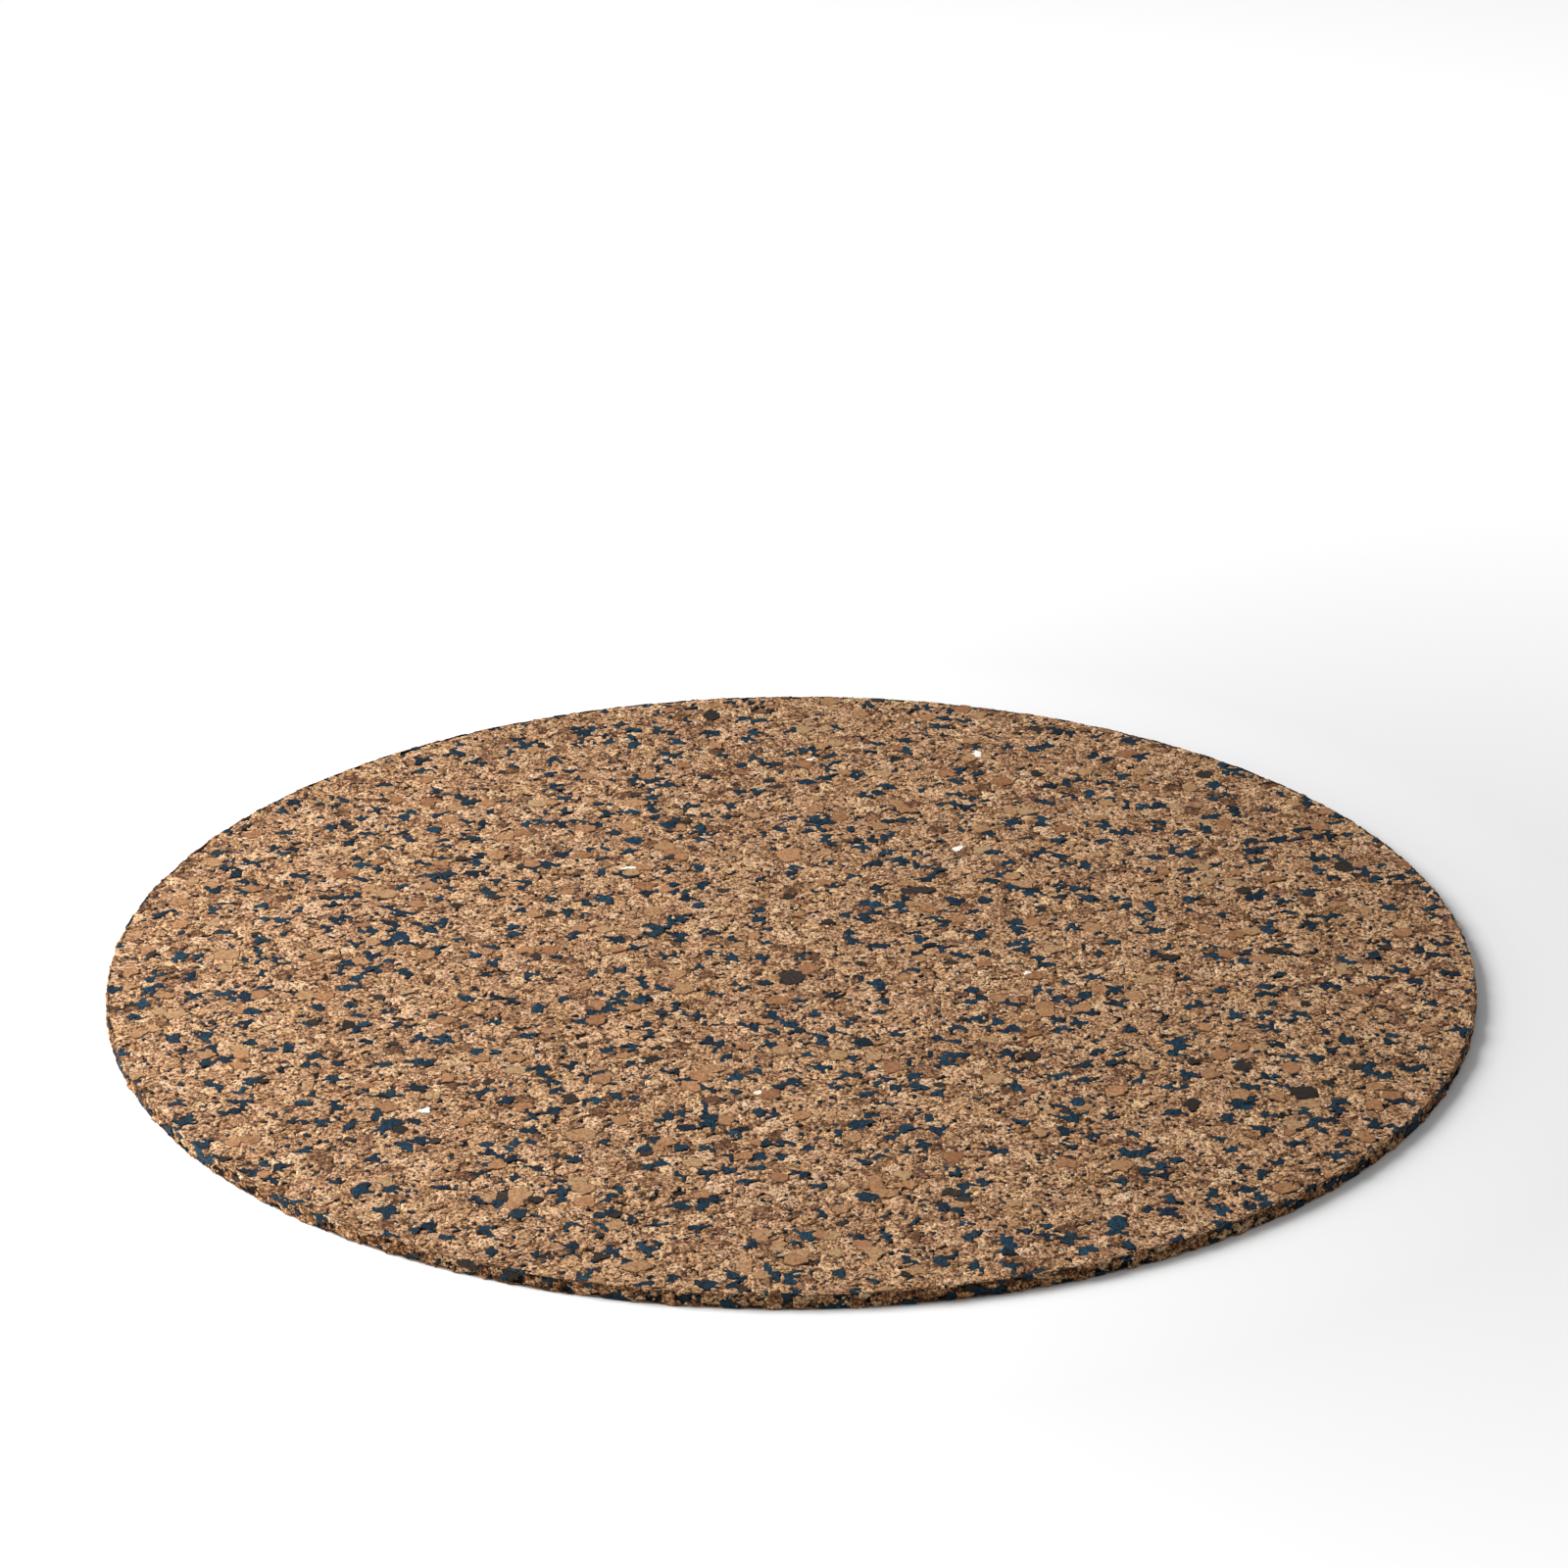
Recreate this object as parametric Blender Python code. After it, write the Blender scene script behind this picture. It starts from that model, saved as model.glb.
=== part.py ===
"""A round, frameless pin-up board: one sheet of agglomerated cork with its large granules.

The board lies flat. Its origin is the centre of its back face, +Z is the way the pin-up
face looks, and everything is in metres.

The sheet is cork crumb and navy rubber crumb pressed with a binder, skived flat and die-cut
to a disc. The granules that stand out by eye are separate solids, each seated in its own
pocket: dark bark chips, navy rubber granules, smooth cork chips and pale shell flecks. A
granule was cut through by the skiving knife, so its top is flat and flush with the face,
and it narrows into the sheet below. No granule reaches the back face.
"""

import math
import random
from dataclasses import dataclass

import bmesh
import bpy
from mathutils import Matrix, Vector

# Driving dimensions of the sheet
BOARD_DIAMETER = 0.290
BOARD_THICKNESS = 0.0035
ARRIS_ROUNDING = 0.0003  # the worn edge that the cutting die leaves, top and bottom
RIM_SIDES = 180

# How a granule sits in the sheet
SEAT_CLEARANCE = 0.0003  # between a granule and its pocket, at the wall and at the floor
CUTTER_RISE = 0.001  # how far a pocket's cutter stands above the face
WAIST_DROP = 0.55  # share of a granule's depth where its wall turns in
WAIST_WIDTH = 0.86  # width there, as a share of the outline
FLOOR_WIDTH = 0.5  # width at the bottom, as a share of the outline

# Scattered granules lie on a sunflower spiral that ends this far in from the rim
SCATTER_REACH = 0.93
GOLDEN_ANGLE = math.radians(137.508)
SCATTER_SPACING = 0.085  # least distance between granules, as a share of the radius


@dataclass(frozen=True)
class Kind:
    """What a family of granules is made of, and how ragged the knife left it."""

    name: str
    colour: tuple
    roughness: float
    depth: float
    raggedness: float
    sides: int


SHEET_COLOUR = (0.356, 0.192, 0.110)
SHEET_ROUGHNESS = 0.9

BARK = Kind("bark_chip", (0.037, 0.024, 0.017), 0.85, 0.0022, 0.10, 14)
RUBBER = Kind("navy_rubber_granule", (0.020, 0.045, 0.075), 0.70, 0.0020, 0.22, 14)
SMOOTH = Kind("smooth_cork_chip", (0.270, 0.160, 0.085), 0.80, 0.0018, 0.08, 12)
FLECK = Kind("shell_fleck", (0.800, 0.740, 0.640), 0.60, 0.0012, 0.12, 10)


@dataclass(frozen=True)
class Granule:
    """One granule: its centre in polar form, its outline's size and which way that lies.

    reach is the centre's distance from the board's centre as a share of the radius, and
    bearing and turn are in degrees from +X.
    """

    kind: Kind
    reach: float
    bearing: float
    length: float
    width: float
    turn: float


# The granules that catch the eye, placed one by one
PLACED = (
    Granule(BARK, 0.07, 270, 0.0080, 0.0066, 85),
    Granule(BARK, 0.30, 50, 0.0095, 0.0042, 10),
    Granule(BARK, 0.90, 20, 0.0066, 0.0045, 70),
    Granule(BARK, 0.84, 328, 0.0066, 0.0060, 155),
    Granule(BARK, 0.93, 98, 0.0070, 0.0040, 100),
    Granule(BARK, 0.73, 330, 0.0055, 0.0036, 125),
    Granule(BARK, 0.73, 319, 0.0050, 0.0034, 85),
    Granule(BARK, 0.72, 18, 0.0050, 0.0036, 90),
    Granule(BARK, 0.94, 45, 0.0055, 0.0030, 50),
    Granule(BARK, 0.47, 316, 0.0054, 0.0026, 55),
    Granule(BARK, 0.71, 1, 0.0040, 0.0032, 145),
    Granule(BARK, 0.39, 157, 0.0036, 0.0030, 55),
    Granule(BARK, 0.67, 199, 0.0050, 0.0026, 100),
    Granule(FLECK, 0.81, 68, 0.0040, 0.0025, 80),
    Granule(FLECK, 0.70, 224, 0.0036, 0.0020, 130),
    Granule(FLECK, 0.40, 128, 0.0028, 0.0018, 10),
    Granule(FLECK, 0.35, 350, 0.0022, 0.0016, 140),
    Granule(FLECK, 0.44, 264, 0.0022, 0.0016, 90),
    Granule(SMOOTH, 0.36, 90, 0.0075, 0.0058, 60),
    Granule(SMOOTH, 0.83, 179, 0.0065, 0.0055, 20),
    Granule(SMOOTH, 0.63, 243, 0.0080, 0.0044, 40),
    Granule(SMOOTH, 0.79, 332, 0.0060, 0.0042, 110),
)

SCATTERED = (
    # kind, how many spots the spiral offers, its start in degrees, least and greatest length
    (RUBBER, 24, 15, 0.0045, 0.0068),
    (SMOOTH, 14, 200, 0.0042, 0.0058),
)


def spot(granule):
    """The centre of a granule in the board's plane, as shares of the radius."""
    bearing = math.radians(granule.bearing)
    return Vector((math.cos(bearing), math.sin(bearing))) * granule.reach


def scattered(kind, spots, start, least, greatest, taken):
    """Granules of one kind on a spiral, without the spots that are already taken."""
    draw = random.Random(kind.name)
    granules = []
    for i in range(spots):
        granule = Granule(
            kind=kind,
            reach=SCATTER_REACH * math.sqrt((i + 0.5) / spots),
            bearing=start + math.degrees(GOLDEN_ANGLE) * i,
            length=draw.uniform(least, greatest),
            width=draw.uniform(0.55, 0.8) * least,
            turn=draw.uniform(0, 180),
        )
        gaps = [(spot(granule) - spot(other)).length for other in taken + granules]
        if min(gaps) > SCATTER_SPACING:
            granules.append(granule)
    return granules


def outline_lobes(granule):
    """A granule's outline as a function of the angle: an ellipse with a few lobes on it."""
    draw = random.Random(f"{granule.kind.name} {granule.reach:.3f} {granule.bearing:.1f}")
    raggedness = granule.kind.raggedness
    lobes = [
        (waves, draw.uniform(0.5, 1.0) * raggedness / math.sqrt(waves - 1), draw.uniform(0, math.tau))
        for waves in (2, 3, 5)
    ]

    def swell(angle):
        return 1 + sum(height * math.cos(waves * angle + phase) for waves, height, phase in lobes)

    # The widest lobe reaches the granule's stated length, so the outline never exceeds it
    most = max(swell(math.tau * k / 72) for k in range(72))
    return lambda angle: swell(angle) / most


def extrude(bm, faces, height, widening):
    """Extrudes faces along Z, scales the new ones about the origin and returns them."""
    grown = bmesh.ops.extrude_face_region(bm, geom=faces)["geom"]
    ring = [g for g in grown if isinstance(g, bmesh.types.BMVert)]
    bmesh.ops.scale(bm, vec=(widening, widening, 1), verts=ring)
    bmesh.ops.translate(bm, vec=(0, 0, height), verts=ring)
    return [g for g in grown if isinstance(g, bmesh.types.BMFace)]


def granule_mesh(granule, clearance, rise):
    """A granule's solid, or with a clearance and a rise the solid that cuts its pocket.

    It starts as the outline on the face. Two extrusions go down from it, to the waist and to
    the floor, and a third goes up where there is a rise.
    """
    swell = outline_lobes(granule)
    depth = granule.kind.depth + clearance
    bm = bmesh.new()
    bmesh.ops.create_circle(bm, cap_ends=True, segments=granule.kind.sides, radius=1)
    for vert in bm.verts:
        angle = math.atan2(vert.co.y, vert.co.x)
        reach_x = granule.length / 2 * swell(angle) + clearance
        reach_y = granule.width / 2 * swell(angle) + clearance
        vert.co.x = math.cos(angle) * reach_x
        vert.co.y = math.sin(angle) * reach_y

    face = bm.faces[:]
    floor, width = face, 1.0
    for drop, next_width in ((WAIST_DROP, WAIST_WIDTH), (1 - WAIST_DROP, FLOOR_WIDTH)):
        deeper = extrude(bm, floor, -drop * depth, next_width / width)
        if floor != face:
            bmesh.ops.delete(bm, geom=floor, context="FACES_ONLY")
        floor, width = deeper, next_width
    if rise:
        extrude(bm, face, rise, 1.0)
        bmesh.ops.delete(bm, geom=face, context="FACES_ONLY")
    bmesh.ops.recalc_face_normals(bm, faces=bm.faces[:])

    centre = spot(granule) * (BOARD_DIAMETER / 2)
    place = Matrix.Translation((centre.x, centre.y, BOARD_THICKNESS))
    turn = Matrix.Rotation(math.radians(granule.turn), 4, "Z")
    bmesh.ops.transform(bm, matrix=place @ turn, verts=bm.verts[:])
    return bm


def make_object(name, bm):
    """A new object in the scene from a finished bmesh."""
    mesh = bpy.data.meshes.new(name)
    bm.to_mesh(mesh)
    bm.free()
    made = bpy.data.objects.new(name, mesh)
    bpy.context.collection.objects.link(made)
    return made


def dress(made, name, colour, roughness):
    """Gives an object its own Principled material."""
    material = bpy.data.materials.new(name)
    material.use_nodes = True
    shader = material.node_tree.nodes["Principled BSDF"]
    shader.inputs["Base Color"].default_value = (*colour, 1)
    shader.inputs["Roughness"].default_value = roughness
    shader.inputs["Metallic"].default_value = 0.0
    material.diffuse_color = (*colour, 1)
    made.data.materials.append(material)


def make_pocket_cutter(granules):
    """One guide object with every granule's pocket in it, grown by the seat clearance."""
    cutter = bmesh.new()
    for granule in granules:
        part = granule_mesh(granule, SEAT_CLEARANCE, CUTTER_RISE)
        mesh = bpy.data.meshes.new("pocket")
        part.to_mesh(mesh)
        part.free()
        cutter.from_mesh(mesh)
        bpy.data.meshes.remove(mesh)
    made = make_object("pocket_cutter", cutter)
    made.hide_render = True
    made.display_type = "WIRE"
    return made


def make_sheet(granules):
    """The disc of agglomerated cork, with a worn arris and a pocket for each granule."""
    bm = bmesh.new()
    bmesh.ops.create_cone(
        bm,
        cap_ends=True,
        segments=RIM_SIDES,
        radius1=BOARD_DIAMETER / 2,
        radius2=BOARD_DIAMETER / 2,
        depth=BOARD_THICKNESS,
        matrix=Matrix.Translation((0, 0, BOARD_THICKNESS / 2)),
    )
    arrises = [e for e in bm.edges if abs(e.verts[0].co.z - e.verts[1].co.z) < 1e-9]
    bmesh.ops.bevel(
        bm,
        geom=arrises,
        offset=ARRIS_ROUNDING,
        segments=2,
        profile=0.5,
        affect="EDGES",
        material=-1,
    )
    sheet = make_object("cork_sheet", bm)
    sheet.data.shade_smooth()
    sheet.data.set_sharp_from_angle(angle=math.radians(30))
    dress(sheet, "agglomerated_cork", SHEET_COLOUR, SHEET_ROUGHNESS)

    pockets = sheet.modifiers.new("granule_pockets", "BOOLEAN")
    pockets.operation = "DIFFERENCE"
    pockets.solver = "EXACT"
    pockets.object = make_pocket_cutter(granules)
    return sheet


def make_granules(granules):
    """Every granule as its own object, numbered within its kind."""
    made = []
    counts = {}
    for granule in granules:
        kind = granule.kind
        counts[kind] = counts.get(kind, 0) + 1
        name = f"{kind.name}_{counts[kind]:02d}"
        chip = make_object(name, granule_mesh(granule, 0, 0))
        dress(chip, name, kind.colour, kind.roughness)
        made.append(chip)
    return made


def main():
    """Builds the whole board."""
    for old in list(bpy.data.objects):
        bpy.data.objects.remove(old, do_unlink=True)
    granules = list(PLACED)
    for kind, spots, start, least, greatest in SCATTERED:
        granules += scattered(kind, spots, start, least, greatest, granules)
    make_sheet(granules)
    make_granules(granules)


main()
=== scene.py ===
"""The looks of a round, frameless cork board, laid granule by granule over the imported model.

The board is agglomerated cork: cork crumb and navy rubber crumb pressed with a binder, skived
flat and die-cut to a disc. Both faces and the raw rim are fields of closed granules. Each
field starts as a honeycomb of small cells, which are gathered into granules, cut apart at the
seams and shaped one by one. Everything is in metres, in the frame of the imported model.
"""

import logging
import math
import random
from collections import Counter
from dataclasses import dataclass, field
from enum import Enum
from typing import Any, Optional, Sequence

import bmesh
import bpy
from mathutils import Matrix, Vector, kdtree, noise


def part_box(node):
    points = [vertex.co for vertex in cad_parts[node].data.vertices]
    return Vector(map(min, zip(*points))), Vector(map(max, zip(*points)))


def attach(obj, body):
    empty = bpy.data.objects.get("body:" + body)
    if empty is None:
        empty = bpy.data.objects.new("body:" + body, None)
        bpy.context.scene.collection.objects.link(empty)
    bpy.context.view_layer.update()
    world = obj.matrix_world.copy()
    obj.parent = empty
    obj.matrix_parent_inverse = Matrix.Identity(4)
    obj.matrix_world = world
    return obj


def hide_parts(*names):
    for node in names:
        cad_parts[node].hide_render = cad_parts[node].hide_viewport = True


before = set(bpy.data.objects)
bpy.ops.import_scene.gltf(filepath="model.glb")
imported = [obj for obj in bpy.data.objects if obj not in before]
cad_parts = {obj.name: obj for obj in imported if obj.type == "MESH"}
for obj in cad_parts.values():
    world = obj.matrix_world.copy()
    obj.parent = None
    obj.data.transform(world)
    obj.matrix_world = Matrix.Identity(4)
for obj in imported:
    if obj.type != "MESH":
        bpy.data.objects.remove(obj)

LOG = logging.getLogger("cork_board")
MM = 0.001
BODY = "root"
SHEET_NODE = "cork_sheet"
BAKE_MAP = "OFBake"


class Kind(Enum):
    """The kinds of granule that the sheet is pressed from."""

    CORK = "cork"
    TORN = "die_torn_cork"
    SMOOTH = "smooth_cork"
    RUBBER = "navy_rubber"
    BARK = "dark_bark"
    FLECK = "pale_shell"


NODE_KINDS = {
    "bark_chip": Kind.BARK,
    "navy_rubber_granule": Kind.RUBBER,
    "smooth_cork_chip": Kind.SMOOTH,
    "shell_fleck": Kind.FLECK,
}


# ---------------------------------------------------------------------------- the mix


@dataclass(frozen=True)
class Share:
    """How much of the mix a kind of granule makes up, and its sieve grade.

    Attributes:
        kind: What the granule is made of.
        part: Its share among granules of the sizes it comes in.
        least: The radius of its smallest granules.
        greatest: The radius of its largest granules.
        clumping: How strongly it gathers in clumps; 0 is an even mix.
    """

    kind: Kind
    part: float
    least: float
    greatest: float
    clumping: float = 0.0


MIX = (
    Share(Kind.CORK, part=1.0, least=0.0, greatest=9.9 * MM),
    Share(Kind.SMOOTH, part=0.11, least=1.15 * MM, greatest=9.9 * MM),
    Share(Kind.RUBBER, part=0.195, least=0.0, greatest=0.88 * MM, clumping=2.0),
    Share(Kind.BARK, part=0.009, least=0.5 * MM, greatest=1.3 * MM),
    Share(Kind.FLECK, part=0.0004, least=0.0, greatest=0.6 * MM),
)
# Radii of the finest and the coarsest granules
GRADES = (0.45 * MM, 1.9 * MM)
# How close granules are sown, as a share of the sum of their radii
PACKING = 0.92
# Width of the clumps that rubber gathers in
CLUMP_SIZE = 9 * MM
# Share of the granules that are brown, and the tones they come in, 0 to 1
BROWN_RATE = 0.11
BROWN_TONES = (0.0, 0.35)
# Darkest, lightest and commonest tone of the other cork
CORK_TONES = (0.25, 1.0, 0.55)
# Share of the loose crumbs that are rubber
RUBBER_CRUMB_RATE = 0.28
# Tones of the crumbs, which are either darker or lighter than the granules round them
DARK_CRUMB = (0.0, 0.3)
LIGHT_CRUMB = (0.7, 1.1)
# How far cells stray from a regular honeycomb, as a share of their width
JITTER = 0.2
# How far the bound between two granules strays, as a share of a cell
WAVER = 0.22
# How many granules a cell can be gathered into
CANDIDATES = 6
# How many cells deep rubber creeps into the joints
CREEP = 2
# The deepest pit that a lost crumb leaves
PIT_DEPTH = 0.35 * MM
# Joints gape in waves of this size, where the wave (-1 to 1) is above the limit
GAPE_SIZE = 1.7 * MM
GAPE_LIMIT = -0.10
# Tops are uneven in waves of this size
SWELL_SIZE = 2.3 * MM
# How much the tone differs between the lumps of one granule
CELL_TONE = 0.36
# Share of the dips in a granule that are open pores, and of its cells' edges that cracked
PORE_RATE = 0.08
CRACK_RATE = 0.05
# Corners closer than this are one
WELD = 1e-7
# Edges that turn more than this stay sharp
SHARP_ANGLE = math.radians(62)


@dataclass(frozen=True)
class Cut:
    """How a kind of granule stands at the face once the knife has passed.

    Attributes:
        seam: Half the width of the crevice round it.
        shoulder: The most that its edge lies below its top, where the crevice gapes.
        sink: The most that it lies below the face.
        tilt: The most that its top leans, as a slope.
        crumble: The most that the dips between the lumps of its top lie below the lumps.
        swell: How uneven its top is at a larger scale.
        proud: How far it may stand out of the surface.
        parts: How many pieces the granules of this kind are divided over on a face.
    """

    seam: float
    shoulder: float
    sink: float
    tilt: float
    crumble: float
    swell: float = 0.08 * MM
    proud: float = 0.0
    parts: int = 1


CUTS = {
    Kind.CORK: Cut(
        seam=0.095 * MM, shoulder=0.26 * MM, sink=0.30 * MM, tilt=0.16,
        crumble=0.20 * MM, parts=6,
    ),
    Kind.TORN: Cut(
        seam=0.09 * MM, shoulder=0.30 * MM, sink=0.45 * MM, tilt=0.30,
        crumble=0.24 * MM, swell=0.45 * MM, proud=0.25 * MM,
    ),
    Kind.SMOOTH: Cut(
        seam=0.04 * MM, shoulder=0.08 * MM, sink=0.06 * MM, tilt=0.02,
        crumble=0.02 * MM, swell=0.03 * MM,
    ),
    Kind.RUBBER: Cut(
        seam=0.06 * MM, shoulder=0.16 * MM, sink=0.25 * MM, tilt=0.10,
        crumble=0.12 * MM, parts=2,
    ),
    Kind.BARK: Cut(
        seam=0.06 * MM, shoulder=0.10 * MM, sink=0.18 * MM, tilt=0.05,
        crumble=0.06 * MM,
    ),
    Kind.FLECK: Cut(
        seam=0.04 * MM, shoulder=0.06 * MM, sink=0.03 * MM, tilt=0.03,
        crumble=0.02 * MM,
    ),
}


@dataclass
class Granule:
    """One granule of a field.

    Attributes:
        kind: What it is made of.
        centre: Its middle, in the field.
        radius: Its radius.
        tone: How light it is, 0 to 1.
        hue: How pink it is, 0 to 1.
        sink: How far it lies below the face, as a share of the most for its kind.
        lean: The slope of its top, as a share of the most for its kind.
        node: The model's node that it stands for, if it is one of the large ones.
    """

    kind: Kind
    centre: Vector
    radius: float
    tone: float
    hue: float
    sink: float
    lean: Vector
    node: Optional[str] = None

    @classmethod
    def drawn(
        cls, kind: Kind, centre: Vector, radius: float, draw: random.Random, node: Optional[str]
    ) -> "Granule":
        """Makes a granule with a tone and a bed of its own.

        Args:
            kind: What it is made of.
            centre: Its middle.
            radius: Its radius.
            draw: The source of chance.
            node: The node that it stands for, if any.

        Returns:
            The granule.
        """
        brown = draw.random() < BROWN_RATE
        tone = draw.uniform(*BROWN_TONES) if brown else draw.triangular(*CORK_TONES)
        lean = Vector((draw.uniform(-1, 1), draw.uniform(-1, 1), 0))
        return cls(kind, centre, radius, tone, draw.random(), draw.random() ** 2, lean, node)


# ---------------------------------------------------------------------------- fields


@dataclass
class Field:
    """A flat field of granules, the shared start of both faces and of the rim.

    The field lies in the XY plane with its open side up. A subclass says how large it is,
    how its edge is trimmed and where it goes in the board.

    Attributes:
        name: The name that its pieces start with.
        cell: The width of the cells that granules are gathered from.
        seam_depth: How far below the open side the seams between granules lie.
        grading: How much coarser than the mix its granules are.
        flattening: How much wider than tall its granules are.
        seed: What its draws start from.
        crumb_rate: The share of cells between granules that stay loose crumbs.
        arm_rate: The share of cells beside rubber that rubber has been squeezed into.
        granules: Its granules, once they are sown.
    """

    name: str
    cell: float
    seam_depth: float
    seed: int
    grading: float = 1.0
    flattening: float = 1.0
    crumb_rate: float = 0.30
    arm_rate: float = 0.18
    granules: list[Granule] = field(default_factory=list)

    # -- to be given by each field

    def extent(self) -> tuple[float, float]:
        """Width and height of the plane rectangle that holds the field."""
        raise NotImplementedError

    def trim(self, bm: bmesh.types.BMesh) -> None:
        """Cuts the honeycomb to the field's outline."""
        raise NotImplementedError

    def place(self, bm: bmesh.types.BMesh) -> None:
        """Moves shaped granules from the flat field to where they lie in the board."""
        raise NotImplementedError

    def reserved(self, centres: Sequence[Vector]) -> dict[int, str]:
        """The cells that belong to a large granule of the model, by the granule's node."""
        return {}

    # -- the honeycomb

    def honeycomb(self) -> bmesh.types.BMesh:
        """A honeycomb of jittered cells over the field.

        A grid is turned into bricks by dissolving every second rung of each column, and the
        bricks become hexagons when the rungs' ends are moved a quarter side outwards.

        Returns:
            The honeycomb, trimmed to the field's outline.
        """
        width, height = self.extent()
        column, row = self.cell * math.sqrt(3) / 2, self.cell / 2
        columns = 2 * math.ceil(width / column / 2)
        rows = 2 * math.ceil(height / row / 2)
        column = width / columns
        bm = bmesh.new()
        bmesh.ops.create_grid(bm, x_segments=columns, y_segments=rows, size=0.5)
        for vert in bm.verts:
            i, j = round((vert.co.x + 0.5) * columns), round((vert.co.y + 0.5) * rows)
            vert.co.x = (i - columns / 2) * column
            vert.co.y = (j - rows / 2) * row
        self.drop_outside(bm)
        rungs = []
        for edge in bm.edges:
            middle = (edge.verts[0].co + edge.verts[1].co) / 2
            i, j = middle.x / column + columns / 2, middle.y / row + rows / 2
            if abs(j - round(j)) < 0.1 and (round(i - 0.5) + round(j)) % 2 == 1:
                if len(edge.link_faces) == 2:
                    rungs.append(edge)
        bmesh.ops.dissolve_edges(bm, edges=rungs, use_verts=False, use_face_split=False)
        draw = random.Random(self.seed)
        push = self.cell / math.sqrt(3) / 4
        for vert in bm.verts:
            i = round(vert.co.x / column + columns / 2)
            j = round(vert.co.y / row + rows / 2)
            vert.co.x += push if (i + j) % 2 == 0 else -push
            vert.co.x += draw.uniform(-JITTER, JITTER) * self.cell
            vert.co.y += draw.uniform(-JITTER, JITTER) * self.cell
        self.trim(bm)
        loose = [edge for edge in bm.edges if edge.is_wire]
        bmesh.ops.delete(bm, geom=loose, context="EDGES")
        return bm

    def drop_outside(self, bm: bmesh.types.BMesh) -> None:
        """By default removes no grid squares; a field whose grid reaches well past its outline removes
        those.
        """

    # -- gathering cells into granules

    def draw_kind(self, place: Vector, radius: float, draw: random.Random) -> Kind:
        """Draws what a granule is made of from the mix.

        Args:
            place: Where it lies, for the kinds that gather in clumps.
            radius: Its radius.
            draw: The source of chance.

        Returns:
            Its kind.
        """
        clump = noise.noise(place / CLUMP_SIZE + Vector((0, 0, self.seed)))
        weights = [
            share.part * max(0.1, 1 + share.clumping * clump)
            if share.least <= radius <= share.greatest
            else 0.0
            for share in MIX
        ]
        return draw.choices(MIX, weights)[0].kind

    def sow(self, centres: Sequence[Vector], taken: dict[int, str]) -> None:
        """Throws granules on the field until no more fit.

        Args:
            centres: The cells' centres.
            taken: Cells that belong to the model's large granules, by node.
        """
        draw = random.Random(self.seed + 1)
        for node in sorted(set(taken.values())):
            members = [centres[i] for i, owner in taken.items() if owner == node]
            middle = sum(members, Vector((0, 0, 0))) / len(members)
            kind = next(k for stem, k in NODE_KINDS.items() if node.startswith(stem))
            self.granules.append(Granule.drawn(kind, middle, self.cell, draw, node))
        bucket = self.grading * 2 * GRADES[1]
        reach = range(-1, 2)
        buckets: dict[tuple[int, int], list[tuple[float, float, float]]] = {}
        order = [i for i in range(len(centres)) if i not in taken]
        draw.shuffle(order)
        for i in order:
            x, y = centres[i].x / self.flattening, centres[i].y
            radius = draw.uniform(*GRADES) * self.grading
            column, row = math.floor(x / bucket), math.floor(y / bucket)
            near = (
                other for a in reach for b in reach for other in buckets.get((column + a, row + b), ())
            )
            if any(math.hypot(u - x, v - y) < PACKING * (radius + r) for u, v, r in near):
                continue
            buckets.setdefault((column, row), []).append((x, y, radius))
            kind = self.draw_kind(centres[i], radius / self.grading, draw)
            self.granules.append(Granule.drawn(kind, centres[i], radius, draw, None))

    def gather(self, bm: bmesh.types.BMesh) -> None:
        """Gives each cell of the honeycomb the number of the granule it belongs to.

        Args:
            bm: The honeycomb. Its faces get the number in the layer "granule".
        """
        layer = bm.faces.layers.int.new("granule")
        cells = bm.faces[:]
        for i, cell in enumerate(cells):
            cell.index = i
        centres = [cell.calc_center_median() for cell in cells]
        taken = self.reserved(centres)
        self.sow(centres, taken)
        stretch = Vector((1 / self.flattening, 1, 1))
        tree = kdtree.KDTree(len(self.granules))
        for i, granule in enumerate(self.granules):
            if granule.node is None:
                tree.insert(granule.centre * stretch, i)
        tree.balance()
        by_node = {g.node: i for i, g in enumerate(self.granules) if g.node}
        draw = random.Random(self.seed + 2)
        owner = []
        for i, centre in enumerate(centres):
            if i in taken:
                owner.append(by_node[taken[i]])
                continue
            found = tree.find_n(centre * stretch, CANDIDATES)
            wobble = WAVER * self.cell
            owner.append(
                min(
                    (away - self.granules[k].radius + draw.uniform(-wobble, wobble), k)
                    for _, k, away in found
                )[1]
            )
        around = [
            [other.index for edge in cell.edges for other in edge.link_faces if other is not cell]
            for cell in cells
        ]
        self.settle_strays(owner, around, taken)
        self.squeeze_rubber(owner, around, taken, draw)
        self.loosen_crumbs(owner, around, taken, draw, centres)
        for cell, number in zip(cells, owner):
            cell[layer] = number

    def settle_strays(
        self, owner: list[int], around: Sequence[Sequence[int]], taken: dict[int, str]
    ) -> None:
        """Hands each cell that has no fellow beside it to the granule most round it.

        Args:
            owner: Each cell's granule, changed in place.
            around: Each cell's neighbours.
            taken: Cells that may not change hands.
        """
        for i, neighbours in enumerate(around):
            owners = [owner[n] for n in neighbours if n not in taken]
            if i not in taken and owners and owner[i] not in owners:
                owner[i] = max(sorted(set(owners)), key=owners.count)

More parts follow.
